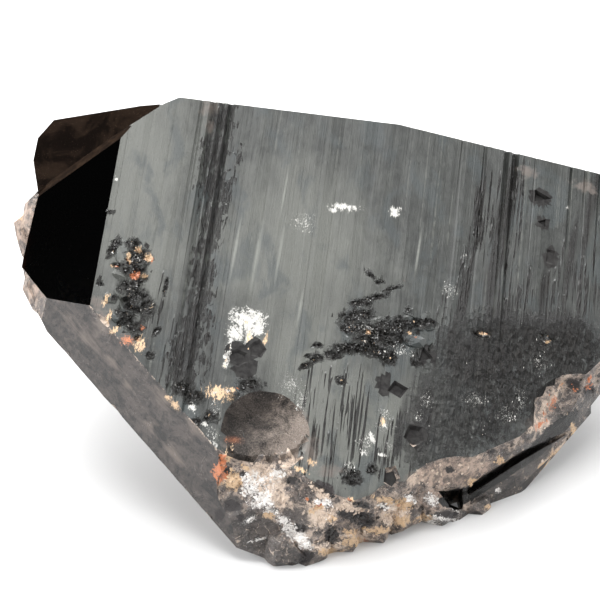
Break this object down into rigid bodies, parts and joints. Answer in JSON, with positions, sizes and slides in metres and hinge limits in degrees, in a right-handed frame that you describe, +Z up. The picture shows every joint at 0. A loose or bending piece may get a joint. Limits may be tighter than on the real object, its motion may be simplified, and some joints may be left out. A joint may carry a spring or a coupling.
{
  "type": "morion quartz cluster",
  "caption": "Near-black quartz crystals grown together: a broad tabular crystal with a striated, etch-pitted front face, a brown plate behind it and a broken lower tip.",
  "frame": {"origin": "middle of the underside of the bounding box, on the surface it rests on", "axes": "+X towards the crystal's far broken end, +Y away from the viewer, +Z up"},
  "size_m": [0.1136, 0.086, 0.0521],
  "materials": {
    "morion_quartz": "near-black smoky quartz with vitreous, striated prism faces and clear glossy tip faces",
    "fracture_crust": "pale, sugary broken quartz with beige, orange and dark grains"
  },
  "bodies": {
    "root": {"quartz_cluster": "morion_quartz"}
  },
  "joints": []
}
